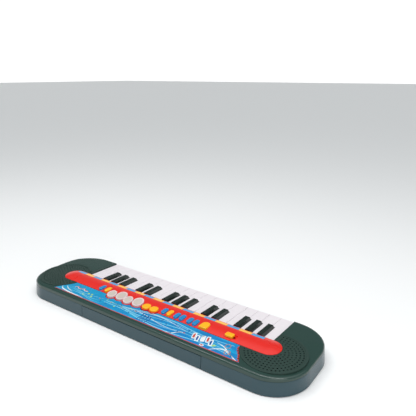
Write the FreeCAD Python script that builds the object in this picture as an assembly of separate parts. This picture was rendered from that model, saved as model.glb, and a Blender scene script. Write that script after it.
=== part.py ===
import FreeCAD, Part
import math
import os

# Toy electronic keyboard, millimetres. +X to the player's right, +Y to the back,
# +Z up. Origin: centre of the footprint, on the surface it stands on.

V = FreeCAD.Vector

# Overall
LENGTH = 540.0
DEPTH = 155.0
DECK_Z = 28.0
FRONT_Z = 24.0
END_Z = 25.5
CORNER_BACK = 56.0
CORNER_FRONT = 60.0
DRAFT = 0.075
FOOT_H = 1.2
FOOT_R = 7.0
WALL = 2.2
FLOOR_T = 2.4
PARTING_Z = 21.0
RIM_R = 3.0
GROOVE = 0.4

# Key bed
WHITE_COUNT = 19
BLACK_AT = (1, 2, 3, 5, 6, 8, 9, 10, 12, 13, 15, 16, 17)
END_BLOCK = 80.0
BED_SHIFT = -9.0
BED_GAP = 3.5
END_KEY_EXTRA = 2.0
BACK_SECTION = 82.0
WHITE_TOP = 24.5
WHITE_DROP = 3.3
BLACK_RISE = 5.0
KEY_BOTTOM = 11.0
KEY_GAP = 0.4
KEY_SKIN = 1.6
BLACK_VISIBLE = 39.0
BLACK_BASE = 0.56
BLACK_TOP = 0.37
NOTCH_GAP = 0.4
TAIL_SHARE = 0.35
FRONT_WALL_Z = 6.0

# Pivot bar
BAR_R = 2.0
BAR_FIT = 0.08
HOOK_R = 4.2
PIVOT_BACK = 12.5
PIVOT_Z = 14.0
PLUNGER = 3.0
PLUNGER_FRONT = 28.0
PLUNGER_Z = 10.0

# Control strip
STRIP_WIDTH = 36.8
STRIP_END_BASS = 47.0
STRIP_END_TREBLE = 52.4
STRIP_SEAT = 1.0
STRIP_TOP = 30.9
STRIP_RISE = 2.6
STRIP_FIT = 0.2
CUP_WALL = 1.8
CUP_TILT = 12.0

# Controls: name, kind, x, y measured from the key side of the strip
OVAL_W = 8.0
OVAL_L = 15.0
PAD_SMALL_R = 8.5
PAD_BIG_R = 10.0
ROUND_R = 7.3
ARCH_W = 13.5
ARCH_L = 16.5
SWITCH_W = 13.0
SWITCH_D = 9.0
SWITCH_TRAVEL = 5.0
CONTROL_FIT = 0.3
FLANGE = 1.0
STEM_BOTTOM = 20.2
CONTROLS = (
    ("oval_button_1", "oval", 114.0, 28.3),
    ("oval_button_2", "oval", 100.5, 28.3),
    ("drum_pad_1", "small", 82.4, 36.5),
    ("drum_pad_2", "big", 63.8, 32.5),
    ("drum_pad_3", "small", 45.2, 36.5),
    ("drum_pad_4", "big", 26.6, 32.5),
    ("round_button_1", "round", 6.0, 34.5),
    ("round_button_2", "round", -9.6, 34.5),
    ("oval_button_3", "oval", -27.0, 28.3),
    ("oval_button_4", "oval", -37.8, 28.3),
    ("oval_button_5", "oval", -51.8, 28.3),
    ("oval_button_6", "oval", -62.2, 28.3),
    ("oval_button_7", "oval", -77.0, 28.3),
    ("oval_button_8", "oval", -87.4, 28.3),
    ("arch_button", "arch", -103.5, 26.8),
    ("slide_switch", "switch", -147.5, 28.5),
)

# Speakers
DISC_R = 46.4
DISC_T = 1.2
DISC_RAISE = 0.5
RING_DROP = 3.8
DISC_RIM = 3.0
DISC_FIT = 0.2
LEDGE = 3.0
HOLE_R = 1.2
HOLE_STEP = 5.0
HOLE_RINGS = 8
DRIVER_R = 25.0
DRIVER_DEPTH = 16.0
DRIVER_OUT = 6.0
DRIVER_SINK = 0.5
DRIVER_RIM = 4.0
DRIVER_CLEAR = 0.5

# Sticker
STICKER_T = 0.15
STICKER_BACK = 9.5
STICKER_GAP = 0.8
STICKER_SWEEP = 42.0
STICKER_CLEAR = 5.4

# Battery compartment
CELL_R = 7.1
CELL_L = 49.2
CELL_NUB_R = 2.75
CELL_NUB_L = 1.3
CELL_COUNT = 4
CELL_GAP = 0.3
BOX_SPARE = 22.0
BOX_SHIFT = -13.6
BOX_WALL = 1.6
DOOR_T = 2.2
DOOR_FIT = 0.7
CONTACT_T = 0.5

# Boards, domes and screws
BOARD_T = 1.6
KEY_BOARD_Z = 4.6
CONTROL_BOARD_Z = 16.0
DOME_R = 1.6
DOME_H = 1.1
BOSS_R = 3.4
SCREW_R = 1.3
SCREW_HEAD_R = 2.8
SCREW_HEAD_H = 2.0
SCREW_TOP = 22.0
SPLIT_Z = 14.0

HALF = LENGTH / 2
FRONT = -DEPTH / 2
BACK = DEPTH / 2
EDGE_Y = BACK - BACK_SECTION
PITCH = (LENGTH - 2 * END_BLOCK) / WHITE_COUNT
BED0 = BED_SHIFT - PITCH * WHITE_COUNT / 2
BED1 = BED_SHIFT + PITCH * WHITE_COUNT / 2
DECK_UNDER = DECK_Z - WALL
FLOOR_Z = FOOT_H + FLOOR_T
PIVOT_Y = EDGE_Y + PIVOT_BACK
BODY_BACK = EDGE_Y + 2
STRIP_R = STRIP_WIDTH / 2
STRIP_Y = EDGE_Y + STRIP_R
STRIP_X0 = -HALF + STRIP_END_BASS + STRIP_R
STRIP_X1 = HALF - STRIP_END_TREBLE - STRIP_R
SEAT_Z = DECK_Z - STRIP_SEAT
DISC_X = HALF - CORNER_BACK + 1.9
DISC_Y = BACK - CORNER_BACK - 0.7
DISC_SEAT = DECK_Z + DISC_RAISE - DISC_T
RING_SEAT = DECK_Z - RING_DROP
DRIVER_Y = max(DISC_Y + 4, EDGE_Y + DRIVER_R + 4)
DRIVER_TOP = DECK_UNDER - DRIVER_SINK
KEY_SLOPE = math.degrees(math.atan(WHITE_DROP / (EDGE_Y - FRONT)))
CELL_Y = BACK - 18.0
CELL_Z = FLOOR_Z + 1.0 + CELL_R
BOX_HALF = (CELL_COUNT * (CELL_L + CELL_NUB_L + CELL_GAP) + BOX_SPARE) / 2 + 9
BOX_Y0 = CELL_Y - CELL_R - 1.5
BOX_TOP = CELL_Z + CELL_R + 0.5
BOARD_Y0 = PIVOT_Y + HOOK_R + 2.5
BOARD_Y1 = BOX_Y0 - BOX_WALL - 1.0
SCREWS = (
    (-HALF + 46, FRONT + 26),
    (HALF - 48, FRONT + 26),
    (-HALF + 10, DISC_Y - 29),
    (HALF - 10, DISC_Y - 29),
    (BOX_SHIFT - BOX_HALF - 12, BACK - 12),
    (BOX_SHIFT + BOX_HALF + 12, BACK - 12),
)


def box(x0, x1, y0, y1, z0, z1):
    return Part.makeBox(x1 - x0, y1 - y0, z1 - z0, V(x0, y0, z0))


def cyl(x, y, z0, z1, r):
    return Part.makeCylinder(r, z1 - z0, V(x, y, z0))


def save(name, shape):
    shape = shape.removeSplitter()
    shape.exportStep("parts/" + name + ".step")


def group(shapes):
    return Part.makeCompound(shapes)


def fuse(shapes):
    out = shapes[0]
    if len(shapes) > 1:
        out = out.multiFuse(shapes[1:])
    return out


def outline(inset, z):
    """Rounded plan of the case at a height, moved inward by inset."""
    inset = inset + DRAFT * (z - FOOT_H)
    x = HALF - inset
    y0 = FRONT + inset
    y1 = BACK - inset
    rb = CORNER_BACK - inset
    rf = CORNER_FRONT - inset
    s = math.sqrt(0.5)

    def arc(cx, cy, r, a0, am, a1):
        pts = [V(cx + r * c, cy + r * d, z) for c, d in (a0, am, a1)]
        return Part.Arc(pts[0], pts[1], pts[2]).toShape()

    e = [
        Part.makeLine(V(-x + rf, y0, z), V(x - rf, y0, z)),
        arc(x - rf, y0 + rf, rf, (0, -1), (s, -s), (1, 0)),
        Part.makeLine(V(x, y0 + rf, z), V(x, y1 - rb, z)),
        arc(x - rb, y1 - rb, rb, (1, 0), (s, s), (0, 1)),
        Part.makeLine(V(x - rb, y1, z), V(-x + rb, y1, z)),
        arc(-x + rb, y1 - rb, rb, (0, 1), (-s, s), (-1, 0)),
        Part.makeLine(V(-x, y1 - rb, z), V(-x, y0 + rf, z)),
        arc(-x + rf, y0 + rf, rf, (-1, 0), (-s, -s), (0, -1)),
    ]
    return Part.Wire(e)


def sloped(pts, along_x):
    """Prism under a profile of (position, height) points, running along X or along Y."""
    far = LENGTH
    if along_x:
        p = [V(-far, a, b) for a, b in pts]
        way = V(2 * far, 0, 0)
    else:
        p = [V(a, -far, b) for a, b in pts]
        way = V(0, 2 * far, 0)
    return Part.Face(Part.makePolygon(p + [p[0]])).extrude(way)


def roof(drop):
    """Everything below the top face of the case, lowered by drop: flat over the deck,
    falling to the front and to the two ends."""
    m = (DECK_Z - FRONT_Z) / (EDGE_Y - FRONT)
    n = (DECK_Z - END_Z) / (HALF - DISC_X)
    z = DECK_Z - drop
    y0 = FRONT - 20
    x1 = HALF + 20
    zx = z - n * (x1 - DISC_X)
    side = sloped([(y0, -9), (y0, z - m * (EDGE_Y - y0)), (EDGE_Y, z), (BACK + 20, z), (BACK + 20, -9)], True)
    front = sloped([(-x1, -9), (-x1, zx), (-DISC_X, z), (DISC_X, z), (x1, zx), (x1, -9)], False)
    return side.common(front)


def key_roof(drop):
    """Everything below the sloping plane of the white key tops, lowered by drop."""
    m = WHITE_DROP / (EDGE_Y - FRONT)
    z = WHITE_TOP - drop
    y0 = FRONT - 20
    return sloped([(y0, -9), (y0, z - m * (EDGE_Y - y0)), (EDGE_Y, z), (BACK, z), (BACK, -9)], True)


def slab(inset, z0, z1):
    return Part.makeLoft([outline(inset, z0), outline(inset, z1)], True, True)


def stadium(x0, x1, y, r, z0, z1):
    parts = [box(x0, x1, y - r, y + r, z0, z1), cyl(x0, y, z0, z1, r), cyl(x1, y, z0, z1, r)]
    return fuse(parts)


def tilt_cut(x, y, z):
    """Everything above a plane through (x, y, z) that falls towards the back."""
    b = box(-60, 60, -60, 60, 0, 40)
    b.rotate(V(0, 0, 0), V(1, 0, 0), -CUP_TILT)
    b.translate(V(x, y, z))
    return b


def pads():
    out = []
    for name, kind, x, y in CONTROLS:
        if kind in ("small", "big"):
            r = PAD_SMALL_R if kind == "small" else PAD_BIG_R
            out.append((name, x, EDGE_Y + y, r))
    return out


def rounds():
    return [(n, x, EDGE_Y + y, ROUND_R) for n, k, x, y in CONTROLS if k == "round"]


def strip_plan(extra, z0, z1):
    """Stadium of the control strip with the cups that overhang its back edge."""
    parts = [stadium(STRIP_X0, STRIP_X1, STRIP_Y, STRIP_R + extra, z0, z1)]
    for n, x, y, r in pads() + rounds():
        parts.append(cyl(x, y, z0, z1, r + CUP_WALL + extra))
    return fuse(parts)


def dome_cap():
    big = (STRIP_R ** 2 + STRIP_RISE ** 2) / (2 * STRIP_RISE)
    z = STRIP_TOP - big
    bar = Part.makeCylinder(big, STRIP_X1 - STRIP_X0, V(STRIP_X0, STRIP_Y, z), V(1, 0, 0))
    a = Part.makeSphere(big, V(STRIP_X0, STRIP_Y, z))
    b = Part.makeSphere(big, V(STRIP_X1, STRIP_Y, z))
    return fuse([bar, a, b])


def oval(x, y, w, length, z0, z1):
    r = w / 2
    d = length / 2 - r
    parts = [box(x - r, x + r, y - d, y + d, z0, z1)]
    parts.append(cyl(x, y - d, z0, z1, r))
    parts.append(cyl(x, y + d, z0, z1, r))
    return fuse(parts)


def arch(x, y, w, length, z0, z1):
    r = w / 2
    y1 = y + length / 2
    y0 = y - length / 2 + r
    return fuse([box(x - r, x + r, y0, y1, z0, z1), cyl(x, y0, z0, z1, r)])


def control_plan(kind, x, y, grow, z0, z1):
    if kind == "oval":
        return oval(x, y, OVAL_W + 2 * grow, OVAL_L + 2 * grow, z0, z1)
    if kind == "arch":
        return arch(x, y, ARCH_W + 2 * grow, ARCH_L + 2 * grow, z0, z1)
    if kind == "small":
        return cyl(x, y, z0, z1, PAD_SMALL_R + grow)
    if kind == "big":
        return cyl(x, y, z0, z1, PAD_BIG_R + grow)
    return cyl(x, y, z0, z1, ROUND_R + grow)


def top_edges(shape, z):
    out = []
    for e in shape.Edges:
        b = e.BoundBox
        if abs(b.ZMin - z) < 1e-3 and abs(b.ZMax - z) < 1e-3:
            out.append(e)
    return out


def rounded(shape, z, r):
    return shape.makeFillet(r, top_edges(shape, z))


def button(kind, x, y):
    y = EDGE_Y + y
    if kind in ("small", "big"):
        body = control_plan(kind, x, y, 0, STEM_BOTTOM, STRIP_TOP + 6)
        body = body.cut(tilt_cut(x, y, STRIP_TOP + 1.2))
    elif kind == "round":
        body = control_plan(kind, x, y, 0, STEM_BOTTOM, STRIP_TOP + 1.2)
        body = rounded(body, STRIP_TOP + 1.2, 0.9)
    else:
        body = control_plan(kind, x, y, 0, STEM_BOTTOM, STRIP_TOP + 1.0)
        body = rounded(body, STRIP_TOP + 1.0, 0.9)
    if kind == "oval":
        foot = box(x - OVAL_W / 2, x + OVAL_W / 2, y - OVAL_L / 2 - FLANGE, y + OVAL_L / 2 + FLANGE,
                   STEM_BOTTOM + 3, STEM_BOTTOM + 4.2)
    elif kind == "arch":
        foot = box(x - 3, x + 3, y - ARCH_L / 2 - FLANGE, y + ARCH_L / 2 + FLANGE, STEM_BOTTOM + 3, STEM_BOTTOM + 4.2)
    else:
        r = body.BoundBox.XLength / 2 + FLANGE
        foot = box(x - 3, x + 3, y - r, y + r, STEM_BOTTOM + 3, STEM_BOTTOM + 4.2)
    return body.fuse(foot)


def slide_switch(x, y):
    y = EDGE_Y + y
    knob = box(x - SWITCH_W / 2, x + SWITCH_W / 2, y - SWITCH_D / 2, y + SWITCH_D / 2, STRIP_TOP - 0.9, STRIP_TOP + 2.0)
    knob = knob.makeFillet(2.0, [e for e in knob.Edges if e.BoundBox.ZLength > 1])
    knob = rounded(knob, STRIP_TOP + 2.0, 0.8)
    stem = box(x - 4, x + 4, y - 1.8, y + 1.8, STEM_BOTTOM + 1, STRIP_TOP - 0.9)
    return knob.fuse(stem)


def control_strip():
    body = strip_plan(0, SEAT_Z, STRIP_TOP + 3).common(dome_cap())
    for n, x, y, r in pads():
        cup = cyl(x, y, SEAT_Z, STRIP_TOP + 4, r + CUP_WALL).cut(tilt_cut(x, y, STRIP_TOP - 1.0))
        body = body.fuse(cup)
    for n, x, y, r in rounds():
        cup = cyl(x, y, SEAT_Z, STRIP_TOP - 1.2, r + CUP_WALL)
        body = body.fuse(cup)
    for name, kind, x, y in CONTROLS:
        if kind == "switch":
            x1 = x + SWITCH_W / 2 + CONTROL_FIT
            x0 = x - SWITCH_W / 2 - SWITCH_TRAVEL - CONTROL_FIT
            yy = EDGE_Y + y
            d = SWITCH_D / 2 + CONTROL_FIT
            body = body.cut(box(x0, x1, yy - d, yy + d, STRIP_TOP - 1.6, STRIP_TOP + 4))
            body = body.cut(box(x - 4.4 - SWITCH_TRAVEL, x + 4.4, yy - 2.2, yy + 2.2, SEAT_Z - 2, STRIP_TOP))
        else:
            body = body.cut(control_plan(kind, x, EDGE_Y + y, CONTROL_FIT, SEAT_Z - 5, STRIP_TOP + 9))
    return body


def control_window(z0, z1):
    """Opening in the deck under the strip for every control."""
    xs = [c[2] for c in CONTROLS]
    y1 = EDGE_Y + 36.5 + PAD_SMALL_R + 0.8
    win = box(min(xs) - 14, max(xs) + 6, STRIP_Y - 6, STRIP_Y + STRIP_R - 0.7, z0, z1)
    parts = [win]
    for n, x, y, r in pads() + rounds():
        parts.append(box(x - r - 0.8, x + r + 0.8, y - 6, min(y + r + 1.2, y1 + 1), z0, z1))
    return fuse(parts)


def disc(side, r, z0, z1):
    return cyl(side * DISC_X, DISC_Y, z0, z1, r)


def bed_box(gap, z0, z1):
    return box(BED0 - BED_GAP - gap, BED1 + BED_GAP + gap, FRONT - 10, EDGE_Y, z0, z1)


def grille(side):
    plate = disc(side, DISC_R - 1, DISC_SEAT, DISC_SEAT + DISC_T - 0.4)
    rim = disc(side, DISC_R, RING_SEAT, DISC_SEAT + DISC_T).cut(disc(side, DISC_R - DISC_RIM, 0, 50))
    holes = [cyl(side * DISC_X, DISC_Y, 20, 35, HOLE_R)]
    for n in range(1, HOLE_RINGS + 1):
        for k in range(6 * n):
            a = 2 * math.pi * (k + 0.5 * (n % 2)) / (6 * n)
            hx = side * DISC_X + HOLE_STEP * n * math.cos(a)
            hy = DISC_Y + HOLE_STEP * n * math.sin(a)
            holes.append(cyl(hx, hy, 20, 35, HOLE_R))
    body = plate.fuse(rim).cut(strip_plan(1.2, 20, 35))
    body = body.cut(bed_box(WALL, 20, 35))
    inner = disc(side, DISC_R - DISC_RIM - 0.5, 20, 35).cut(strip_plan(STRIP_FIT + 3.2, 19, 36))
    inner = inner.cut(bed_box(WALL + 2.5, 19, 36))
    body = body.cut(group(holes).common(inner))
    x = side * (DISC_X + DRIVER_OUT)
    seat = cyl(x, DRIVER_Y, DRIVER_TOP, DISC_SEAT + 0.1, DRIVER_R)
    seat = seat.cut(cyl(x, DRIVER_Y, 0, 50, DRIVER_R - DRIVER_RIM))
    seat = seat.cut(strip_plan(1.2, 20, 35)).cut(bed_box(WALL, 20, 35))
    return body.fuse(seat)


def driver_space(side):
    """Room kept clear round one speaker driver, so that the case never runs into it."""
    x = side * (DISC_X + DRIVER_OUT)
    z = DRIVER_TOP
    r = DRIVER_R
    g = DRIVER_CLEAR
    low = z - DRIVER_DEPTH - g
    pts = [(0, low), (14 + g, low), (14 + g, z - 9), (r - 5 + g, z - 4 - g), (r + g, z - 4 - g), (r + g, z + 0.05),
           (0, z + 0.05), (0, low)]
    wire = Part.makePolygon([V(x + a, DRIVER_Y, b) for a, b in pts])
    return Part.Face(wire).revolve(V(x, DRIVER_Y, 0), V(0, 0, 1), 360)


def roof_edges(shape):
    """Edges around the rim, where the top faces meet the wall."""
    out = []
    for e in shape.Edges:
        flat = 0
        for f in shape.ancestorsOfType(e, Part.Face):
            if abs(f.normalAt(0.5, 0.5).z) > 0.98:
                flat = flat + 1
        if flat == 1 and e.BoundBox.ZMin > PARTING_Z + 0.5:
            out.append(e)
    return out


def disc_opening(side, z0, z1):
    hole = disc(side, DISC_R + DISC_FIT, z0, z1).cut(strip_plan(1.0, z0 - 1, z1 + 1))
    return hole.cut(bed_box(WALL - DISC_FIT, z0 - 1, z1 + 1))


def disc_collar(side):
    """Wall and ledge under the deck that carry one speaker disc."""
    r = DISC_R + DISC_FIT
    z0 = RING_SEAT - 1.4
    tube = disc(side, r + 1.2, z0, DECK_Z).cut(disc(side, r, z0 - 1, DECK_Z + 1))
    ledge = disc(side, r + 0.5, z0, RING_SEAT).cut(disc(side, r - LEDGE, z0 - 1, DECK_Z))
    keys = box(BED0 - BED_GAP - WALL, BED1 + BED_GAP + WALL, FRONT - 10, PIVOT_Y + 6, 0, DECK_UNDER + 0.1)
    return tube.fuse(ledge).cut(keys).cut(bed_box(0, 0, 60))


def top_case():
    outer = slab(0, PARTING_Z, DECK_Z + 5).common(roof(0))
    outer = outer.makeFillet(RIM_R, roof_edges(outer))
    inner = slab(WALL, PARTING_Z - 1, DECK_Z + 5).common(roof(WALL))
    shell = outer.cut(inner)
    ring = slab(-3, PARTING_Z - 1, PARTING_Z + GROOVE).cut(slab(GROOVE, PARTING_Z - 2, PARTING_Z + 2))
    shell = shell.cut(ring)
    shell = shell.cut(bed_box(0, 0, 60))
    b0 = BED0 - BED_GAP
    b1 = BED1 + BED_GAP
    cheeks = box(b0 - WALL, b0, FRONT - 5, EDGE_Y, PARTING_Z, DECK_Z)
    cheeks = cheeks.fuse(box(b1, b1 + WALL, FRONT - 5, EDGE_Y, PARTING_Z, DECK_Z))
    collars = disc_collar(-1).fuse(disc_collar(1))
    shell = shell.fuse(cheeks.fuse(collars).common(outer))
    for x, y in SCREWS:
        boss = cyl(x, y, SPLIT_Z, DECK_Z, BOSS_R).common(slab(0.5, SPLIT_Z - 4, DECK_Z)).common(roof(1.0))
        shell = shell.fuse(boss)
        shell = shell.cut(cyl(x, y, SPLIT_Z - 1, SCREW_TOP, SCREW_R))
    for side in (-1, 1):
        shell = shell.cut(disc_opening(side, RING_SEAT, DECK_Z + 5))
        shell = shell.cut(disc(side, DISC_R - LEDGE, RING_SEAT - 3, RING_SEAT + 0.1))
        shell = shell.cut(driver_space(side))
    shell = shell.cut(strip_plan(STRIP_FIT, SEAT_Z, DECK_Z + 5))
    shell = shell.cut(control_window(DECK_UNDER - 2, DECK_Z + 5))
    return shell


def door_zone(fit, z0, z1):
    x0 = BOX_SHIFT - BOX_HALF - fit
    x1 = BOX_SHIFT + BOX_HALF + fit
    return box(x0, x1, BOX_Y0 - fit, BACK + 10, z0, z1)


def bottom_case():
    outer = slab(0, FOOT_H, PARTING_Z)
    shell = outer.cut(slab(WALL, FLOOR_Z, PARTING_Z + 1))
    shell = shell.cut(box(BED0 - BED_GAP, BED1 + BED_GAP, FRONT - 10, FRONT + 8, FRONT_WALL_Z, 60))
    shell = shell.cut(door_zone(0, -1, PARTING_Z + 1))
    adds = []
    b0 = BED0 - BED_GAP
    b1 = BED1 + BED_GAP
    for x in (b0 - WALL, b1):
        adds.append(box(x, x + WALL, FRONT - 5, PIVOT_Y + 3, FOOT_H, PARTING_Z).common(outer))
    adds.append(Part.makeCylinder(BAR_R, b1 - b0 + 2, V(b0 - 1, PIVOT_Y, PIVOT_Z), V(1, 0, 0)))
    for k in range(WHITE_COUNT):
        x = BED0 + (k + 0.75) * PITCH
        adds.append(box(x - 0.8, x + 0.8, PIVOT_Y - 2.5, PIVOT_Y + 2.5, FOOT_H + 1, PIVOT_Z))
    x0 = BOX_SHIFT - BOX_HALF
    x1 = BOX_SHIFT + BOX_HALF
    y1 = BACK - 4.2
    adds.append(box(x0 - BOX_WALL, x1 + BOX_WALL, BOX_Y0 - BOX_WALL, BOX_Y0, FOOT_H, BOX_TOP + BOX_WALL))
    adds.append(box(x0 - BOX_WALL, x1 + BOX_WALL, BOX_Y0 - BOX_WALL, y1, BOX_TOP, BOX_TOP + BOX_WALL))
    for x in (x0 - BOX_WALL, x1):
        adds.append(box(x, x + BOX_WALL, BOX_Y0 - BOX_WALL, BACK - 2.5, FOOT_H, BOX_TOP + BOX_WALL))
    for x in (BOX_SHIFT - CELL_ROW / 2 - 3.2, BOX_SHIFT + CELL_ROW / 2 + 2.0):
        adds.append(box(x, x + 1.2, BOX_Y0 - 1, y1, FLOOR_Z + 1, BOX_TOP + 0.5))
    for x in (BED0 + 12, BED_SHIFT, BED1 - 12):
        adds.append(box(x - 2, x + 2, EDGE_Y - 22, EDGE_Y - 12, FOOT_H + 1, KEY_BOARD_Z))
    for x in (-150.0, -20.0, 110.0):
        adds.append(cyl(x, BOARD_Y1 - 4, FOOT_H + 1, CONTROL_BOARD_Z, 2.5))
    for sx in (-1, 1):
        for fy in (FRONT + 14, BOX_Y0 - 14):
            adds.append(cyl(sx * (HALF - 60), fy, 0, FOOT_H + 1, FOOT_R))
    for x, y in SCREWS:
        adds.append(cyl(x, y, FOOT_H, SPLIT_Z, BOSS_R))
    shell = fuse([shell] + adds)
    for x, y in SCREWS:
        shell = shell.cut(cyl(x, y, 0, SPLIT_Z + 1, SCREW_R + 0.1))
        shell = shell.cut(cyl(x, y, 0, FOOT_H + 5.0, SCREW_HEAD_R + 0.2))
    for side in (-1, 1):
        shell = shell.cut(driver_space(side))
    return shell


CELL_ROW = CELL_COUNT * (CELL_L + CELL_NUB_L + CELL_GAP)


def battery_door():
    outer = slab(0, FOOT_H, PARTING_Z)
    shell = outer.cut(slab(DOOR_T, FLOOR_Z, PARTING_Z + 1))
    zone = door_zone(-DOOR_FIT, 0, PARTING_Z - DOOR_FIT)
    body = shell.common(zone)
    catch = box(BOX_SHIFT - 9, BOX_SHIFT + 9, BACK - 5.5, BACK - 3, FLOOR_Z - 0.5, BOX_TOP - 4)
    return body.fuse(catch.common(outer))


def batteries():
    out = []
    x = BOX_SHIFT - CELL_ROW / 2
    for k in range(CELL_COUNT):
        a = Part.makeCylinder(CELL_R, CELL_L, V(x, CELL_Y, CELL_Z), V(1, 0, 0))
        b = Part.makeCylinder(CELL_NUB_R, CELL_NUB_L + 1, V(x + CELL_L - 1, CELL_Y, CELL_Z), V(1, 0, 0))
        out.append(a.fuse(b))
        x = x + CELL_L + CELL_NUB_L + CELL_GAP
    return group(out)


def battery_contacts():
    x0 = BOX_SHIFT - CELL_ROW / 2 - 2.0
    x1 = BOX_SHIFT + CELL_ROW / 2 + 2.0
    a = box(x0, x0 + CONTACT_T, CELL_Y - 5, CELL_Y + 5, CELL_Z - 5, CELL_Z + 5)
    a = a.fuse(Part.makeCone(4.0, 2.4, 1.2, V(x0 + CONTACT_T, CELL_Y, CELL_Z), V(1, 0, 0)))
    b = box(x1 - CONTACT_T, x1, CELL_Y - 5, CELL_Y + 5, CELL_Z - 5, CELL_Z + 5)
    b = b.fuse(Part.makeCone(3.0, 2.0, 1.2, V(x1 - CONTACT_T, CELL_Y, CELL_Z), V(-1, 0, 0)))
    return group([a, b])


def white_key(k):
    """k counts from the bass, 1 to WHITE_COUNT."""
    x0 = BED0 + (k - 1) * PITCH + KEY_GAP / 2
    x1 = BED0 + k * PITCH - KEY_GAP / 2
    if k == 1:
        x0 = x0 - END_KEY_EXTRA
    if k == WHITE_COUNT:
        x1 = x1 + END_KEY_EXTRA
    notch = PITCH * BLACK_BASE / 2 + NOTCH_GAP
    n0 = BED0 + (k - 1) * PITCH + notch if (k - 1) in BLACK_AT else x0
    n1 = BED0 + k * PITCH - notch if k in BLACK_AT else x1
    y0 = FRONT + 0.6
    ny = EDGE_Y - BLACK_VISIBLE - 0.8
    s = KEY_SKIN
    head = box(x0, x1, y0, ny, KEY_BOTTOM, WHITE_TOP)
    neck = box(n0, n1, ny, BODY_BACK, KEY_BOTTOM, WHITE_TOP)
    body = head.fuse(neck).removeSplitter().common(key_roof(0))
    edges = []
    for e in body.Edges:
        b = e.BoundBox
        if b.YMin < y0 + 1e-3 and b.ZMax > WHITE_TOP - WHITE_DROP - 0.1 and b.ZMin > KEY_BOTTOM + 1:
            edges.append(e)
    body = body.makeFillet(0.8, edges)
    pocket = box(x0 + s, x1 - s, y0 + s, ny - s, 0, WHITE_TOP)
    m0 = max(n0, x0) + s
    m1 = min(n1, x1) - s
    pocket = pocket.fuse(box(m0, m1, ny - s - 1, BODY_BACK - s, 0, WHITE_TOP))
    body = body.cut(pocket.common(key_roof(s)))
    return add_tail(body, BED0 + (k - 0.5) * PITCH)


def add_tail(body, x):
    """Arm to the pivot bar, open hook under it and the plunger."""
    w = PITCH * TAIL_SHARE / 2
    arm = box(x - w, x + w, BODY_BACK - 1, PIVOT_Y + 3, PIVOT_Z + 3, WHITE_TOP - 2)
    hook = Part.makeCylinder(HOOK_R, 2 * w, V(x - w, PIVOT_Y, PIVOT_Z), V(1, 0, 0))
    out = fuse([body, arm, hook])
    out = out.cut(Part.makeCylinder(BAR_R + BAR_FIT, 2 * w + 2, V(x - w - 1, PIVOT_Y, PIVOT_Z), V(1, 0, 0)))
    out = out.cut(box(x - w - 1, x + w + 1, PIVOT_Y - 1.7, PIVOT_Y + 1.7, 0, PIVOT_Z))
    p = PLUNGER / 2
    y = PIVOT_Y - PLUNGER_FRONT
    return out.fuse(box(x - p, x + p, y - p, y + p, PLUNGER_Z, WHITE_TOP - 2))


def rect(x, half, y0, y1, z):
    return Part.makePolygon([V(x - half, y0, z), V(x + half, y0, z), V(x + half, y1, z), V(x - half, y1, z),
                             V(x - half, y0, z)])


def black_key(i):
    x = BED0 + i * PITCH
    wb = PITCH * BLACK_BASE / 2
    wt = PITCH * BLACK_TOP / 2
    y0 = EDGE_Y - BLACK_VISIBLE
    y1 = EDGE_Y - 0.7
    zt = WHITE_TOP + BLACK_RISE
    lower = box(x - wb, x + wb, y0, BODY_BACK, KEY_BOTTOM + 1, WHITE_TOP).common(key_roof(0))
    cap = Part.makeLoft([rect(x, wb, y0, y1, WHITE_TOP - 0.6), rect(x, wt, y0 + 2.8, y1, zt)], True, True)
    cap = cap.makeFillet(0.6, [e for e in top_edges(cap, zt) if e.BoundBox.YMin < y1 - 1])
    cap.rotate(V(0, EDGE_Y, WHITE_TOP), V(1, 0, 0), KEY_SLOPE)
    s = KEY_SKIN
    body = lower.fuse(cap)
    pocket = box(x - wb + s, x + wb - s, y0 + s, BODY_BACK - s, 0, WHITE_TOP).common(key_roof(s))
    return add_tail(body.cut(pocket), x)


def graphic_sticker():
    y1 = BACK - STICKER_BACK
    sheet = box(-DISC_X + 12, DISC_X - 12, STRIP_Y, y1, DECK_Z, DECK_Z + STICKER_T)
    sheet = sheet.cut(strip_plan(STRIP_FIT + STICKER_GAP, 0, 60))
    for side in (-1, 1):
        sheet = sheet.cut(disc(side, DISC_R + DISC_FIT + STICKER_GAP, 0, 60))
        sweep = DISC_X + STICKER_SWEEP
        sheet = sheet.cut(cyl(side * sweep, DISC_Y, 0, 60, DISC_R + STICKER_SWEEP - STICKER_CLEAR))
    keep = max(sheet.Solids, key=lambda s: s.Volume)
    return keep


def speaker_driver(side):
    x = side * (DISC_X + DRIVER_OUT)
    y = DRIVER_Y
    z = DRIVER_TOP
    r = DRIVER_R
    d = DRIVER_DEPTH
    pts = [(8, z - 6), (r - 4, z - 1), (r - 4, z), (r, z), (r, z - 2), (r - 5, z - 4), (14, z - 9), (14, z - d), (0, z - d),
           (0, z - 5), (8, z - 6)]
    wire = Part.makePolygon([V(x + a, y, b) for a, b in pts])
    return Part.Face(wire).revolve(V(x, y, 0), V(0, 0, 1), 360)


def circuit_boards():
    key = box(BED0 + 4, BED1 - 4, EDGE_Y - 24, EDGE_Y - 8, KEY_BOARD_Z, KEY_BOARD_Z + BOARD_T)
    control = box(-166, 126, BOARD_Y0, BOARD_Y1, CONTROL_BOARD_Z, CONTROL_BOARD_Z + BOARD_T)
    return group([key, control])


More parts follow.
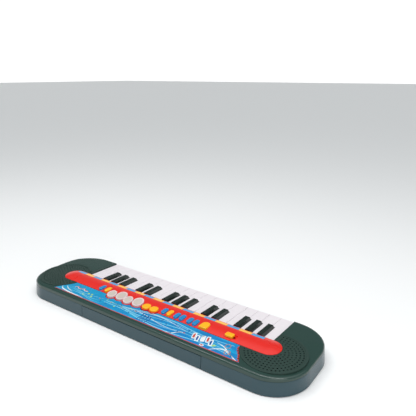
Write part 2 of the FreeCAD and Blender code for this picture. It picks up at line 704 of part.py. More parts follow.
def rubber_contacts():
    out = []
    y = PIVOT_Y - PLUNGER_FRONT
    z = KEY_BOARD_Z + BOARD_T
    mat = [box(BED0 + 4.5, BED1 - 4.5, y - 3, y + 3, z, z + 0.5)]
    for k in range(WHITE_COUNT):
        mat.append(cyl(BED0 + (k + 0.5) * PITCH, y, z, z + DOME_H, DOME_R))
    for i in BLACK_AT:
        mat.append(cyl(BED0 + i * PITCH, y, z, z + DOME_H, DOME_R))
    out.append(fuse(mat))
    z = CONTROL_BOARD_Z + BOARD_T
    for name, kind, x, yy in CONTROLS:
        if kind != "switch":
            out.append(cyl(x, min(EDGE_Y + yy, BOARD_Y1 - 2.5), z, z + DOME_H, DOME_R))
    return group(out)


def case_screws():
    out = []
    z = FOOT_H + 5.0
    for x, y in SCREWS:
        out.append(cyl(x, y, z - SCREW_HEAD_H, z, SCREW_HEAD_R).fuse(cyl(x, y, z - 0.5, SCREW_TOP - 0.2, SCREW_R)))
    return group(out)


def main():
    os.makedirs("parts", exist_ok=True)
    save("bottom_case", bottom_case())
    save("top_case", top_case())
    save("control_strip", control_strip())
    save("graphic_sticker", graphic_sticker())
    save("speaker_grilles", group([grille(-1), grille(1)]))
    save("speaker_drivers", group([speaker_driver(-1), speaker_driver(1)]))
    save("circuit_boards", circuit_boards())
    save("rubber_contacts", rubber_contacts())
    save("case_screws", case_screws())
    save("battery_contacts", battery_contacts())
    save("batteries", batteries())
    save("battery_door", battery_door())
    for k in range(1, WHITE_COUNT + 1):
        save("white_key_%02d" % k, white_key(k))
    for n, i in enumerate(BLACK_AT):
        save("black_key_%02d" % (n + 1), black_key(i))
    for name, kind, x, y in CONTROLS:
        if kind == "switch":
            save(name, slide_switch(x, y))
        else:
            save(name, button(kind, x, y))


main()
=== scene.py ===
import math

import bmesh
import bpy
from bpy.props import FloatProperty, FloatVectorProperty, IntProperty, PointerProperty
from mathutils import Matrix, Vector
from mathutils.bvhtree import BVHTree


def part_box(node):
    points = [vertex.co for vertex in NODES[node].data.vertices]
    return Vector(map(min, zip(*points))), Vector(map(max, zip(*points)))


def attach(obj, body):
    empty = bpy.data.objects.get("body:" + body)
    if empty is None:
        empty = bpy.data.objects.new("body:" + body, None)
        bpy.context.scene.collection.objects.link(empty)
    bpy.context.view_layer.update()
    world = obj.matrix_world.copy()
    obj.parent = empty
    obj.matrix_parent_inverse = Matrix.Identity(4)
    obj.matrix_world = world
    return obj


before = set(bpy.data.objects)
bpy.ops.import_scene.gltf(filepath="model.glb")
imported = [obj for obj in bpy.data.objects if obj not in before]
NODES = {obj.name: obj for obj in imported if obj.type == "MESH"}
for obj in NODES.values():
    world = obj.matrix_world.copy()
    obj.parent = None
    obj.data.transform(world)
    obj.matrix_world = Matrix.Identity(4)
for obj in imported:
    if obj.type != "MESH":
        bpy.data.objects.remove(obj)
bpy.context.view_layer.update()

bl_info = {
    "name": "Toy Keyboard",
    "version": (1, 0, 0),
    "blender": (4, 5, 0),
    "location": "View3D > Sidebar > Toy Keyboard",
    "description": "Finishes and printed details of a toy electronic keyboard",
    "category": "Object",
}

MM = 0.001
FLOW = 45 * MM  # length of the faint mottling that the melt leaves in a moulding
LAMINATE = {"Roughness": 0.32, "IOR": 1.5}  # clear film or varnish over a print

LAYER = 0.04 * MM  # step in height from one printed layer to the next
INK_T = 0.03 * MM  # thickness of one printed layer
SKIN_EDGE = 2.2 * MM  # longest edge in a draped inlay
SKIN_PASSES = 8  # most times its edges are halved
DASH_IN = 5.0 * MM  # from the strip's front edge to the middle of the dashes
DASH_SHIFT = 6.5 * MM  # how far the row of dashes lies to the treble side
INSET_PART = 0.74  # radius of a pad's inset as a part of the pad's

# In millimetres: the speaker discs' places (the bass one has -X), and the two arcs that end
# the sticker at the bass side.
DISC_AT = (215.9, 20.8)
BASS_ARC = 47.4
BASS_WIDE_ARC = 83
BASS_WIDE_OUT = 42  # how far beyond the disc's centre the wider arc has its own

STRIP_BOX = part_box("control_strip")
STICKER_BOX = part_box("graphic_sticker")
STICKER_TOP = STICKER_BOX[1].z


def linear(code):
    """An sRGB hex colour as the linear RGBA a shader reads."""
    out = []
    for i in (0, 2, 4):
        c = int(code[i:i + 2], 16) / 255
        out.append(c / 12.92 if c <= 0.04045 else ((c + 0.055) / 1.055) ** 2.4)
    return tuple(out) + (1.0,)


class KeyboardColours(bpy.types.PropertyGroup):
    """Colours a user would change"""

    case: FloatVectorProperty(name="Case", description="Slate grey of the bottom case and battery door",
                              subtype="COLOR", size=4, min=0, max=1, default=linear("23434C"))
    # The deck colour is the case plastic tinted greener as a painted reflection on the top.
    deck: FloatVectorProperty(name="Deck", description="Greener slate of the top case",
                              subtype="COLOR", size=4, min=0, max=1, default=linear("2B433D"))
    strip: FloatVectorProperty(name="Control strip", description="Red of the domed control strip",
                               subtype="COLOR", size=4, min=0, max=1, default=linear("E4241A"))
    white: FloatVectorProperty(name="White keys", description="Cool white of the long keys",
                               subtype="COLOR", size=4, min=0, max=1, default=linear("EDE6EA"))
    black: FloatVectorProperty(name="Black keys", description="Green-black of the short keys",
                               subtype="COLOR", size=4, min=0, max=1, default=linear("18241F"))
    yellow: FloatVectorProperty(name="Yellow controls",
                                description="Yellow of two ovals and the other buttons",
                                subtype="COLOR", size=4, min=0, max=1, default=linear("FFB814"))
    blue: FloatVectorProperty(name="Blue controls", description="Blue of six oval buttons",
                              subtype="COLOR", size=4, min=0, max=1, default=linear("1886C4"))
    pad: FloatVectorProperty(name="Drum pads", description="Off-white of the drum pads",
                             subtype="COLOR", size=4, min=0, max=1, default=linear("DCC9C9"))
    sticker: FloatVectorProperty(name="Sticker", description="Ground colour of the printed sticker",
                                 subtype="COLOR", size=4, min=0, max=1, default=linear("0084C4"))


class KeyboardSizes(bpy.types.PropertyGroup):
    """Sizes of the printed details"""

    dash_pitch: FloatProperty(name="Dash pitch", description="Spacing of the coloured dashes along the strip",
                              default=20.8 * MM, min=0.01, max=0.03, unit="LENGTH")
    dash_length: FloatProperty(name="Dash length", description="Length of one coloured dash",
                               default=20.4 * MM, min=0.005, max=0.028, unit="LENGTH")
    dash_width: FloatProperty(name="Dash width", description="Width of the dashes across the strip",
                              default=7.4 * MM, min=0.002, max=0.009, unit="LENGTH")
    dash_count: IntProperty(name="Dashes", description="How many dashes are printed along the strip",
                            default=19, min=1, max=25)
    camera_distance: FloatProperty(name="Camera distance",
                                   description="Distance of the camera from its aim point",
                                   default=1.2746, min=0.5, max=3.0, unit="LENGTH")


# ------------------------------------------------------------------ materials

def node(tree, kind, inputs=(), links=(), **settings):
    """Add one node with its settings, input values and links (input name, from socket)."""
    n = tree.nodes.new(kind)
    for key, value in settings.items():
        setattr(n, key, value)
    for key, value in dict(inputs).items():
        n.inputs[key].default_value = value
    for key, source in links:
        tree.links.new(source, n.inputs[key])
    return n


def fresh(name):
    """A new material with an empty node tree, and that tree."""
    m = bpy.data.materials.new(name)
    m.use_nodes = True
    m.node_tree.nodes.clear()
    return m, m.node_tree


def moulded(name, colour, roughness, grain_mm, grain_height, tint=0.06, coat=0.0, ior=1.53, wear=0.08):
    """Moulded thermoplastic: body colour with faint flow mottling, a fine tool grain and
    slightly uneven gloss. grain_mm is the size of the grain on the real part."""
    m, t = fresh(name)
    co = node(t, "ShaderNodeTexCoord")
    grain = node(t, "ShaderNodeTexNoise", {"Scale": 1 / (grain_mm * MM), "Detail": 3.0, "Roughness": 0.6},
                 [("Vector", co.outputs["Object"])])
    flow = node(t, "ShaderNodeTexNoise", {"Scale": 1 / FLOW, "Detail": 2.0, "Roughness": 0.5},
                [("Vector", co.outputs["Object"])])
    darker = tuple(c * (1 - tint) for c in colour[:3]) + (1,)
    lighter = tuple(min(1, c * (1 + tint)) for c in colour[:3]) + (1,)
    mix = node(t, "ShaderNodeMix", {6: darker, 7: lighter}, [(0, flow.outputs["Fac"])], data_type="RGBA")
    gloss = node(t, "ShaderNodeMapRange", {"To Min": max(0.02, roughness - wear), "To Max": roughness + wear},
                 [("Value", flow.outputs["Fac"])])
    bump = node(t, "ShaderNodeBump", {"Strength": 1.0, "Distance": grain_height * MM},
                [("Height", grain.outputs["Fac"])])
    shade = node(t, "ShaderNodeBsdfPrincipled", {"IOR": ior, "Coat Weight": coat, "Coat Roughness": 0.08},
                 [("Base Color", mix.outputs[2]), ("Roughness", gloss.outputs["Result"]),
                  ("Normal", bump.outputs["Normal"])])
    node(t, "ShaderNodeOutputMaterial", (), [("Surface", shade.outputs["BSDF"])])
    return m


def metal(name, code, roughness, brush_mm):
    """Plated sheet or wire: metallic with fine drawn streaks."""
    m, t = fresh(name)
    co = node(t, "ShaderNodeTexCoord")
    streak = node(t, "ShaderNodeTexNoise", {"Scale": 1 / (brush_mm * MM), "Detail": 2.0},
                  [("Vector", co.outputs["Object"])])
    gloss = node(t, "ShaderNodeMapRange", {"To Min": roughness - 0.1, "To Max": roughness + 0.12},
                 [("Value", streak.outputs["Fac"])])
    shade = node(t, "ShaderNodeBsdfPrincipled", {"Base Color": linear(code), "Metallic": 1.0},
                 [("Roughness", gloss.outputs["Result"])])
    node(t, "ShaderNodeOutputMaterial", (), [("Surface", shade.outputs["BSDF"])])
    return m


def ink(name, code):
    """Printing ink under its clear coat: flat colour with the faint mottle of a litho screen."""
    m, t = fresh(name)
    co = node(t, "ShaderNodeTexCoord")
    # A litho screen is too fine to show, so the mottle is drawn at 2 mm.
    screen = node(t, "ShaderNodeTexNoise", {"Scale": 1 / (2 * MM), "Detail": 2.0},
                  [("Vector", co.outputs["Object"])])
    base = linear(code)
    dark = tuple(c * 0.93 for c in base[:3]) + (1,)
    mix = node(t, "ShaderNodeMix", {6: dark, 7: base}, [(0, screen.outputs["Fac"])], data_type="RGBA")
    shade = node(t, "ShaderNodeBsdfPrincipled", LAMINATE, [("Base Color", mix.outputs[2])])
    node(t, "ShaderNodeOutputMaterial", (), [("Surface", shade.outputs["BSDF"])])
    return m


def sticker_film(name, ground):
    """Printed and laminated polyester film: bright blue ground with darker pools and lighter
    drifting bands, as a printed water or sound wave would show."""
    m, t = fresh(name)
    co = node(t, "ShaderNodeTexCoord")
    squash = node(t, "ShaderNodeMapping", {"Scale": (1.0, 3.2, 1.0), "Rotation": (0, 0, 0.06)},
                  [("Vector", co.outputs["Object"])])
    # Printed pools are about 40 mm long and 12 mm wide.
    pools = node(t, "ShaderNodeTexNoise",
                 {"Scale": 1 / (40 * MM), "Detail": 3.0, "Roughness": 0.55, "Distortion": 0.8},
                 [("Vector", squash.outputs["Vector"])])
    ramp = node(t, "ShaderNodeValToRGB", (), [("Fac", pools.outputs["Fac"])])
    stops = ramp.color_ramp.elements
    stops[0].position, stops[0].color = 0.30, linear("007AB8")
    stops[1].position, stops[1].color = 0.52, ground
    for place, code in ((0.68, "00A2D2"), (0.80, "38BEE0")):
        stops.new(place).color = linear(code)
    # The ground turns from deep blue at the bass end to cyan over the treble third.
    axes = node(t, "ShaderNodeSeparateXYZ", (), [("Vector", co.outputs["Object"])])
    along = node(t, "ShaderNodeMapRange", {"From Min": -20 * MM, "From Max": 110 * MM, "To Max": 0.6},
                 [("Value", axes.outputs["X"])])
    mix = node(t, "ShaderNodeMix", {7: linear("009CC6")},
               [(0, along.outputs["Result"]), (6, ramp.outputs["Color"])], data_type="RGBA")
    shade = node(t, "ShaderNodeBsdfPrincipled", LAMINATE, [("Base Color", mix.outputs[2])])
    node(t, "ShaderNodeOutputMaterial", (), [("Surface", shade.outputs["BSDF"])])
    return m


def finish(piece, material, body="case"):
    """Give a new piece its material, record slot and body."""
    piece.data.materials.clear()
    piece.data.materials.append(material)
    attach(piece, body)
    return piece


def coat_node(name, material):
    """Give a node of the frame its material."""
    o = NODES[name]
    o.data.materials.clear()
    o.data.materials.append(material)


# ------------------------------------------------------------------ mesh tools

def linked(name, mesh):
    """A new object in the scene for a mesh."""
    o = bpy.data.objects.new(name, mesh)
    bpy.context.scene.collection.objects.link(o)
    return o


def from_bmesh(name, bm):
    """A new object in the scene from a bmesh, which is freed."""
    me = bpy.data.meshes.new(name)
    bm.to_mesh(me)
    bm.free()
    return linked(name, me)


def mesh_piece(name, verts, faces):
    """A new object in the scene from points and faces."""
    me = bpy.data.meshes.new(name)
    me.from_pydata(verts, [], faces)
    me.validate()
    me.update()
    return linked(name, me)


def surface(name):
    """Function giving the height of a node's upper surface at x, y."""
    o = NODES[name]
    m = o.matrix_world
    verts = [m @ v.co for v in o.data.vertices]
    tree = BVHTree.FromPolygons(verts, [list(p.vertices) for p in o.data.polygons])

    def height(x, y):
        return tree.ray_cast(Vector((x, y, 1.0)), Vector((0, 0, -1)))[0].z

    return height


def skin(name, outline, height, lift, thick):
    """A thin inlay with the given outline, draped on a height function and closed below."""
    bm = bmesh.new()
    loop = [bm.verts.new((x, y, 0)) for x, y in outline]
    face = bm.faces.new(loop)
    bmesh.ops.triangulate(bm, faces=[face])
    for _ in range(SKIN_PASSES):
        longest = [e for e in bm.edges if e.calc_length() > SKIN_EDGE]
        if not longest:
            break
        bmesh.ops.subdivide_edges(bm, edges=longest, cuts=1)
        bmesh.ops.triangulate(bm, faces=bm.faces[:])
    low = bmesh.ops.duplicate(bm, geom=bm.verts[:] + bm.edges[:] + bm.faces[:])["geom"]
    low_verts = {g for g in low if isinstance(g, bmesh.types.BMVert)}
    low_faces = {g for g in low if isinstance(g, bmesh.types.BMFace)}
    for v in bm.verts:
        h = height(v.co.x, v.co.y) + lift
        v.co.z = h - thick if v in low_verts else h
    for f in bm.faces:
        f.normal_update()
        if (f.normal.z > 0) == (f in low_faces):
            f.normal_flip()
    top_edges = [e for e in bm.edges if e.is_boundary and e.verts[0] not in low_verts]
    low_edges = [e for e in bm.edges if e.is_boundary and e.verts[0] in low_verts]
    bmesh.ops.bridge_loops(bm, edges=top_edges + low_edges)
    return from_bmesh(name, bm)


def bar(cx, cy, length, width, r=0.8 * MM, steps=4):
    """Outline of a rectangle with small round corners."""
    pts = []
    for k, (sx, sy) in enumerate(((1, 1), (-1, 1), (-1, -1), (1, -1))):
        for i in range(steps + 1):
            a = math.pi / 2 * (k + i / steps)
            pts.append((cx + sx * (length / 2 - r) + r * math.cos(a),
                        cy + sy * (width / 2 - r) + r * math.sin(a)))
    return pts


def ellipse(cx, cy, rx, ry, turn=0.0, steps=28):
    """Outline of an ellipse, turned about its centre."""
    c, s = math.cos(turn), math.sin(turn)
    out = []
    for k in range(steps):
        a = 2 * math.pi * k / steps
        x, y = rx * math.cos(a), ry * math.sin(a)
        out.append((cx + x * c - y * s, cy + x * s + y * c))
    return out


def smooth(points, steps=8):
    """Points in millimetres joined by a smooth curve, in metres."""
    p = [Vector(points[0])] + [Vector(q) for q in points] + [Vector(points[-1])]
    out = []
    for i in range(1, len(p) - 2):
        a, b, c, d = p[i - 1], p[i], p[i + 1], p[i + 2]
        for k in range(steps):
            t = k / steps
            out.append((b * 2 + (c - a) * t + (a * 2 - b * 5 + c * 4 - d) * t * t
                        + (b * 3 - a - c * 3 + d) * t ** 3) * 0.5 * MM)
    out.append(p[-1] * MM)
    return out


def stroke(points, width, layer=1, taper=0.0, steps=8):
    """A printed line through points, all in millimetres; taper thins its two ends."""
    centre = smooth(points, steps)
    top = STICKER_TOP + layer * LAYER
    verts, faces = [], []
    n = len(centre)
    for i, q in enumerate(centre):
        d = (centre[min(n - 1, i + 1)] - centre[max(0, i - 1)]).normalized()
        w = width * MM / 2 * (1 - taper * (1 - math.sin(math.pi * i / (n - 1))))
        for side in (1, -1):
            for z in (top, top - INK_T):
                verts.append((q.x - d.y * w * side, q.y + d.x * w * side, z))
    for i in range(n - 1):
        a, b = 4 * i, 4 * i + 4
        faces += [(a, a + 2, b + 2, b), (a + 1, b + 1, b + 3, a + 3),
                  (a, b, b + 1, a + 1), (a + 2, a + 3, b + 3, b + 2)]
    faces += [(0, 1, 3, 2), (4 * n - 4, 4 * n - 2, 4 * n - 1, 4 * n - 3)]
    return mesh_piece("stroke", verts, faces)


def blot(outline, layer=1):
    """A printed flat shape, outline in metres."""
    top = STICKER_TOP + layer * LAYER
    n = len(outline)
    verts = [(x, y, top) for x, y in outline] + [(x, y, top - INK_T) for x, y in outline]
    faces = [tuple(range(n)), tuple(range(2 * n - 1, n - 1, -1))]
    faces += [(i, i + n, (i + 1) % n + n, (i + 1) % n) for i in range(n)]
    return mesh_piece("blot", verts, faces)


def bass_edge(y):
    """Where the sticker ends at the bass side, in millimetres: one arc round the speaker
    disc, then a wider one."""
    dy = y - DISC_AT[1]
    return max(-DISC_AT[0] + math.sqrt(BASS_ARC ** 2 - dy ** 2),
               -DISC_AT[0] - BASS_WIDE_OUT + math.sqrt(BASS_WIDE_ARC ** 2 - dy ** 2))


def spot(x, y, r, layer=1, squash=1.0, turn=0.0):
    """A printed dot, in millimetres."""
    return blot(ellipse(x * MM, y * MM, r * MM, r * squash * MM, turn, 14), layer)


def note(x, y, size, layer=2, turn=0.0):
    """A small printed music note: head, stem and flag."""
    c, s = math.cos(turn), math.sin(turn)

    def at(u, v):
        return (x + size * (u * c - v * s), y + size * (u * s + v * c))

    stem = [at(-0.8, 0.2), at(-0.8, 1.8), at(-0.8, 3.4)]
    flag = [at(-0.8, 3.4), at(-0.1, 2.9), at(0.3, 2.1)]
    return [spot(x, y, size, layer, 0.75, turn + 0.4), stroke(stem, size * 0.4, layer, 0, 2),
            stroke(flag, size * 0.5, layer, 0.5, 4)]


def join(name, pieces):
    """One object from several like ones."""
    bm = bmesh.new()
    for p in pieces:
        bm.from_mesh(p.data)
        old = p.data
        bpy.data.objects.remove(p)
        bpy.data.meshes.remove(old)
    return from_bmesh(name, bm)


# ------------------------------------------------------------------ operators

class TOYKEYS_OT_case(bpy.types.Operator):
    """Finish the case mouldings, battery door and speaker discs"""

    bl_idname = "toykeys.case"
    bl_label = "Case"

    def execute(self, context):
        c = context.scene.toykeys_colours
        # Moulded ABS with a fine spark-eroded grain: semi-gloss, soft highlights on the rim.
        abs_case = moulded("moulded_abs_slate", c.case, 0.24, 0.9, 0.003, tint=0.04, wear=0.03)
        abs_disc = moulded("moulded_abs_disc", linear("2C403A"), 0.26, 0.9, 0.006, tint=0.04, wear=0.04)
        # The top moulding is the same plastic; its greener tint is a painted reflection on the top, and it is
        # a little glossier.
        painted_reflection_top = moulded("moulded_abs_top_painted_reflection", c.deck, 0.17, 0.9, 0.003, tint=0.04, wear=0.03)
        for n in ("bottom_case", "battery_door"):
            coat_node(n, abs_case)
        coat_node("top_case", painted_reflection_top)
        coat_node("speaker_grilles", abs_disc)
        return {"FINISHED"}


class TOYKEYS_OT_keys(bpy.types.Operator):
    """Finish the white and black keys"""

    bl_idname = "toykeys.keys"
    bl_label = "Keys"

    def execute(self, context):
        c = context.scene.toykeys_colours
        # Polished-tool ABS: smooth, semi-gloss, very slight orange peel.
        white = moulded("polished_abs_white", c.white, 0.3, 12.0, 0.004, tint=0.02, wear=0.04)
        black = moulded("polished_abs_black", c.black, 0.24, 12.0, 0.003, tint=0.04, wear=0.04)
        for n in NODES:
            if n.startswith("white_key"):
                coat_node(n, white)
            if n.startswith("black_key"):
                coat_node(n, black)
        return {"FINISHED"}


class TOYKEYS_OT_strip(bpy.types.Operator):
    """Finish the control strip and print its coloured dashes"""

    bl_idname = "toykeys.strip"
    bl_label = "Control strip"

    def execute(self, context):
        c = context.scene.toykeys_colours
        s = context.scene.toykeys_sizes
        # Polished red ABS: semi-gloss, with soft broad reflections.
        red = moulded("polished_abs_red", c.strip, 0.28, 14.0, 0.004, tint=0.02, wear=0.04)
        coat_node("control_strip", red)
        inks = (ink("pad_ink_blue", "37A0D6"), ink("pad_ink_yellow", "FFC24A"))
        dome = surface("control_strip")
        y = STRIP_BOX[0].y + DASH_IN
        x0 = DASH_SHIFT + s.dash_pitch * (s.dash_count - 1) / 2
        for k in range(s.dash_count):
            shape = bar(x0 - k * s.dash_pitch, y, s.dash_length, s.dash_width)
            o = skin("dash_%02d" % (k + 1), shape, dome, lift=0.06 * MM, thick=0.2 * MM)
            finish(o, inks[k % 2])
        return {"FINISHED"}


class TOYKEYS_OT_controls(bpy.types.Operator):
    """Finish the buttons, drum pads and slide switch"""

    bl_idname = "toykeys.controls"
    bl_label = "Controls"

    def execute(self, context):
        c = context.scene.toykeys_colours
        # Polished coloured ABS caps: bright and semi-gloss.
        yellow = moulded("polished_abs_yellow", c.yellow, 0.3, 8.0, 0.004, tint=0.03, wear=0.04)
        blue = moulded("polished_abs_blue", c.blue, 0.3, 8.0, 0.004, tint=0.03, wear=0.04)
        # Satin ABS pads, and their etched insets: duller, with a coarser grain.
        pad = moulded("satin_abs_pad", c.pad, 0.35, 1.2, 0.015, tint=0.02)
        inset = moulded("etched_abs_inset", linear("C6B9B0"), 0.5, 0.8, 0.03, tint=0.06)
        blues = ["oval_button_%d" % k for k in (1, 3, 5, 6, 7, 8)]
        for n in NODES:
            if n.startswith("drum_pad"):
                coat_node(n, pad)
                self.add_inset(n, inset)
            elif n in blues:
                coat_node(n, blue)
            elif "button" in n or n == "slide_switch":
                coat_node(n, yellow)
        return {"FINISHED"}

    def add_inset(self, name, material):
        """The etched round in the middle of a drum pad."""
        lo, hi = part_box(name)
        cx, cy = (lo.x + hi.x) / 2, (lo.y + hi.y) / 2
        r = (hi.x - lo.x) / 2 * INSET_PART
        o = skin(name + "_inset", ellipse(cx, cy, r, r), surface(name), lift=0.1 * MM, thick=0.3 * MM)
        finish(o, material, name)


class TOYKEYS_OT_sticker(bpy.types.Operator):
    """Print the blue sticker with waves, stave lines, notes and dots"""

    # The artwork is set out in millimetres, in the frame's X and Y.

    bl_idname = "toykeys.sticker"
    bl_label = "Graphic sticker"

    def execute(self, context):
        c = context.scene.toykeys_colours
        coat_node("graphic_sticker", sticker_film("laminated_film_blue", c.sticker))
        inks = {
            "pale": ink("ink_pale_cyan", "8EDCF0"),
            "white": ink("ink_white", "EEF4F6"),
            "red": ink("ink_red", "C8463A"),
            "orange": ink("ink_orange", "C77A4A"),
            "lime": ink("ink_lime", "B4DE74"),
            "navy": ink("ink_navy", "0A58A0"),
            "deep": ink("ink_deep_blue", "0080C4"),
        }
        art = {k: [] for k in inks}
        self.border(art)
        self.waves(art)
        self.treble_end(art)
        self.middle(art)
        self.bass_end(art)
        for k, pieces in art.items():
            finish(join("sticker_" + k, pieces), inks[k])
        return {"FINISHED"}

    def border(self, art):
        """Red line along the back edge, turning up round the bass end."""
        y = STICKER_BOX[1].y / MM - 0.7
        x1 = STICKER_BOX[0].x / MM
        art["red"].append(stroke([(-x1 - 2, y), (60, y), (-60, y), (x1 + 2, y)], 1.5, 3, 0, 12))
        edge = [(bass_edge(y - 4.4 * k) + 0.9, y - 4.4 * k) for k in range(8)]
        art["red"].append(stroke(edge, 1.6, 3))
        for k in range(5):
            art["red"].append(spot(bass_edge(61 - 5 * k) + 1.7, 61 - 5 * k, 1.5, 3))

    def waves(self, art):
        """Five stave lines and a deeper pool that drift along the film."""
        for j in range(5):
            pts = []
            for k in range(22):
                x = 78 - 11.6 * k
                spread = min(1.0, k / 7)
                y = 51 + (j - 2) * (1.2 + 4.4 * spread) + 3.4 * math.sin(x / 26 + 0.9 * j)
                pts.append((x, min(max(y, 37.5), 65.0)))
            art["pale"].append(stroke(pts, (1.5, 0.9, 1.3, 0.8, 1.6)[j], 1, 0.4, 5))
        for j in range(2):
            pts = [(40 - 16 * k, 44 + 7 * j + 5 * math.cos(k * 0.7 + 2 * j)) for k in range(9)]
            art["white"].append(stroke(pts, 0.9, 1.5, 0.8))
        for j in range(3):
            pts = [(170 - 15 * k, 60 - 5 * j - 3 * math.sin(k * 0.9 + j)) for k in range(7)]
            art["pale"].append(stroke(pts, 0.8, 1, 0.8))
        pool = [(-30, 65), (-60, 63), (-90, 61.6), (-130, 61.4), (-170, 62.6)]
        art["deep"].append(stroke(pool, 9.0, 0.5, 0.4))

    def treble_end(self, art):
        """White swoosh, crossed red and white brush marks, pale dots and specks."""
        swoosh = [(181, 56), (175, 61.6), (160, 64.4), (140, 65.4), (118, 65.6)]
        art["white"].append(stroke(swoosh, 2.6, 2, 0.9))
        art["white"].append(stroke([(176, 50), (166, 56.5), (150, 61)], 1.3, 2, 0.9))
        for k in range(4):
            x = 156 - 8 * k
            art["white"].append(stroke([(x + 4, 47), (x, 43 + k % 2 * 3), (x - 5, 46)], 2.4, 2, 0.5))
            art["red"].append(stroke([(x + 4, 46), (x, 42.4 + k % 2 * 3), (x - 5, 45)], 1.5, 3, 0.5))
        for x, y in ((127, 57), (120, 50), (113, 49), (109, 55)):
            art["lime"].append(spot(x, y, 2.0, 2, 0.8))
        for k in range(14):
            x = 92 - 6.6 * k
            y = 51 + 6 * math.sin(k * 2.4)
            kind = ("orange", "navy", "lime", "navy")[k % 4]
            if kind == "navy":
                art["navy"] += note(x, y, 1.2, 2, 0.3 * math.sin(k))
            else:
                art[kind].append(spot(x, y, 1.5, 2, 0.7, k))

    def middle(self, art):
        """A fan of navy bars, notes on the stave, and a white flick with a red spot."""
        for k in range(4):
            x = -2 - 5.6 * k
            art["navy"].append(stroke([(x, 44 + k), (x - 3, 54), (x - 1, 64)], 1.8, 2, 0.3))
        art["navy"].append(stroke([(-3, 48), (-12, 50), (-22, 49)], 1.4, 2, 0.3))
        for k, y in enumerate((42, 49, 41, 55, 43, 50, 44)):
            art["navy"] += note(-38 - 13 * k, y, 1.5, 2, 0.2)
        art["white"].append(stroke([(-64, 66), (-73, 63), (-80, 56), (-86, 53)], 1.6, 2, 0.6))
        art["white"].append(spot(-70, 64.5, 2.4, 2, 0.5, 0.3))
        art["white"].append(spot(-82, 54.5, 2.6, 2, 0.5, 0.6))
        art["red"].append(spot(-88, 53, 1.6, 3, 0.7))

    def bass_end(self, art):
        """A white-edged badge of coloured bars, thin loops and crossing swooshes."""
        for k in range(5):
            x = -104 - 7.4 * k
            up = 3.0 * math.sin(k * 1.7)
            art["white"].append(stroke([(x + 2, 43 + up), (x, 50 + up), (x - 3, 57 + up)], 6.4, 2, 0.2))
            bar_ink = ("red", "navy", "white")[k % 3]
            art[bar_ink].append(stroke([(x + 1.5, 45 + up), (x, 50 + up), (x - 2, 55 + up)], 3.0, 3, 0.3))
        art["white"].append(spot(-126, 63, 3.6, 2, 0.7))
        art["red"].append(spot(-126, 63, 2.2, 3, 0.6))
        art["lime"].append(spot(-141, 55, 3.4, 2, 0.5, 0.8))
        swoosh = [(-140, 66), (-148, 59), (-158, 55), (-170, 60), (-184, 66.6)]
        art["white"].append(stroke(swoosh, 2.0, 2, 0.6))
        art["white"].append(stroke([(-141, 46), (-154, 49), (-166, 57), (-180, 66)], 1.6, 2, 0.7))
        for x, y in ((-158, 45), (-165, 58)):
            loop = [(x + 4 * math.cos(a * 0.9), y + 5 * math.sin(a * 0.9)) for a in range(8)]
            art["orange"].append(stroke(loop, 0.9, 3))


class TOYKEYS_OT_inside(bpy.types.Operator):
    """Finish the parts inside the case"""

    bl_idname = "toykeys.inside"
    bl_label = "Inside parts"

    def execute(self, context):
        # Zinc-plated steel: grey, softly bright.
        coat_node("case_screws", metal("zinc_plated_steel", "B8BBBD", 0.35, 0.5))
        # Nickel-plated spring steel: bright and smooth.
        coat_node("battery_contacts", metal("nickel_plated_steel", "C8C4B8", 0.25, 0.4))
        # Paper-phenolic laminate: bare brown board.
        coat_node("circuit_boards", moulded("phenolic_laminate", linear("8A6234"), 0.6, 1.0, 0.02))
        # Moulded silicone: milky and dull.
        coat_node("rubber_contacts", moulded("moulded_silicone", linear("C9C9C2"), 0.55, 1.5, 0.02, ior=1.41))
        # Painted pressed steel and treated paper: dull black.
        coat_node("speaker_drivers", moulded("black_speaker_paper", linear("14171A"), 0.7, 1.0, 0.03))
        # Shrink sleeve: semi-gloss dark film.
        coat_node("batteries", moulded("cell_sleeve", linear("3A4046"), 0.3, 3.0, 0.01, coat=0.2))
        return {"FINISHED"}


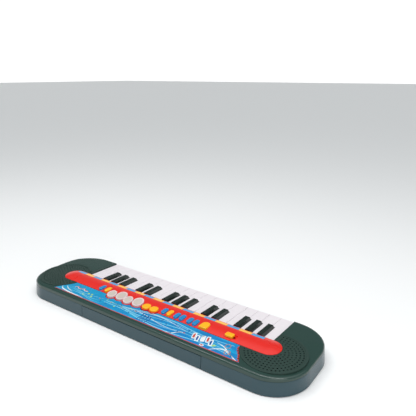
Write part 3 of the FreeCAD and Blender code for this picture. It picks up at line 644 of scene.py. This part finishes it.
class TOYKEYS_OT_stage(bpy.types.Operator):
    """Floor, soft studio light and camera"""

    bl_idname = "toykeys.stage"
    bl_label = "Stage"

    def execute(self, context):
        scene = context.scene
        # Matt white paper: even and dull, with a faint fibre mottle of about 3 mm.
        floor, t = fresh("matt_white_paper")
        co = node(t, "ShaderNodeTexCoord")
        fibre = node(t, "ShaderNodeTexNoise", {"Scale": 1 / (3 * MM), "Detail": 2.0},
                     [("Vector", co.outputs["Object"])])
        mix = node(t, "ShaderNodeMix", {6: linear("F8F8F8"), 7: linear("FCFCFC")},
                   [(0, fibre.outputs["Fac"])], data_type="RGBA")
        shade = node(t, "ShaderNodeBsdfPrincipled", {"Roughness": 0.9}, [("Base Color", mix.outputs[2])])
        node(t, "ShaderNodeOutputMaterial", (), [("Surface", shade.outputs["BSDF"])])
        half = 20.0
        corners = [(-half, -half, 0), (half, -half, 0), (half, half, 0), (-half, half, 0)]
        o = mesh_piece("floor", corners, [(0, 1, 2, 3)])
        o.data.materials.append(floor)

        world = bpy.data.worlds.new("studio")
        scene.world = world
        world.use_nodes = True
        wt = world.node_tree
        wt.nodes.clear()
        # A bright tent overhead and at the horizon with a darker band between: plastics seen
        # from the front stay saturated and only the rim catches the bright top.
        co = node(wt, "ShaderNodeTexCoord")
        up = node(wt, "ShaderNodeSeparateXYZ", (), [("Vector", co.outputs["Generated"])])
        band = node(wt, "ShaderNodeValToRGB", (), [("Fac", up.outputs["Z"])])
        stops = band.color_ramp.elements
        stops[0].position, stops[0].color = 0.17, linear("FFFFFF")
        stops[1].position, stops[1].color = 1.0, linear("FFFFFF")
        for place, code in ((0.28, "5A6264"), (0.66, "5A6264"), (0.80, "F4F8FA")):
            stops.new(place).color = linear(code)
        sky = node(wt, "ShaderNodeBackground", {"Strength": 1.12}, [("Color", band.outputs["Color"])])
        node(wt, "ShaderNodeOutputWorld", (), [("Surface", sky.outputs["Background"])])
        scene.view_settings.view_transform = "Standard"

        def area(name, place, aim, size, power):
            light = bpy.data.lights.new(name, "AREA")
            light.shape = "RECTANGLE"
            light.size, light.size_y = size
            light.energy = power
            ob = bpy.data.objects.new(name, light)
            ob.location = place
            ob.rotation_euler = (Vector(aim) - Vector(place)).to_track_quat("-Z", "Y").to_euler()
            scene.collection.objects.link(ob)

        area("strip_light", (-0.05, 0.12, 1.2), (-0.05, 0.05, 0), (1.6, 0.12), 8)
        area("fill_softbox", (-1.3, 1.1, 0.7), (0, 0, 0), (1.2, 0.8), 6)

        cam = bpy.data.cameras.new("camera")
        cam.sensor_width = 36.0
        cam.lens = 39.19
        az, el = math.radians(215.13), math.radians(16.48)
        back = Vector((math.sin(az) * math.cos(el), -math.cos(az) * math.cos(el), math.sin(el)))
        aim = Vector((255.4, -495.0, 25.4)) * MM
        ob = bpy.data.objects.new("camera", cam)
        scene.collection.objects.link(ob)
        ob.location = aim + back * scene.toykeys_sizes.camera_distance
        ob.rotation_euler = back.to_track_quat("Z", "Y").to_euler()
        cam.clip_end = 50
        scene.camera = ob
        return {"FINISHED"}


class TOYKEYS_PT_panel(bpy.types.Panel):
    """Lists the pieces of the toy keyboard"""

    bl_label = "Toy Keyboard"
    bl_idname = "TOYKEYS_PT_panel"
    bl_space_type = "VIEW_3D"
    bl_region_type = "UI"
    bl_category = "Toy Keyboard"

    def draw(self, context):
        for op in OPERATORS:
            self.layout.operator(op.bl_idname)
        for group in (context.scene.toykeys_colours, context.scene.toykeys_sizes):
            for key in group.__annotations__:
                self.layout.prop(group, key)


OPERATORS = (TOYKEYS_OT_case, TOYKEYS_OT_keys, TOYKEYS_OT_strip, TOYKEYS_OT_controls, TOYKEYS_OT_sticker,
             TOYKEYS_OT_inside, TOYKEYS_OT_stage)
CLASSES = (KeyboardColours, KeyboardSizes) + OPERATORS + (TOYKEYS_PT_panel,)


def register():
    for c in CLASSES:
        bpy.utils.register_class(c)
    bpy.types.Scene.toykeys_colours = PointerProperty(type=KeyboardColours)
    bpy.types.Scene.toykeys_sizes = PointerProperty(type=KeyboardSizes)


def unregister():
    del bpy.types.Scene.toykeys_sizes
    del bpy.types.Scene.toykeys_colours
    for c in reversed(CLASSES):
        bpy.utils.unregister_class(c)


def main():
    register()
    bpy.ops.toykeys.case()
    bpy.ops.toykeys.keys()
    bpy.ops.toykeys.strip()
    bpy.ops.toykeys.controls()
    bpy.ops.toykeys.sticker()
    bpy.ops.toykeys.inside()
    bpy.ops.toykeys.stage()


if __name__ == "__main__":
    main()
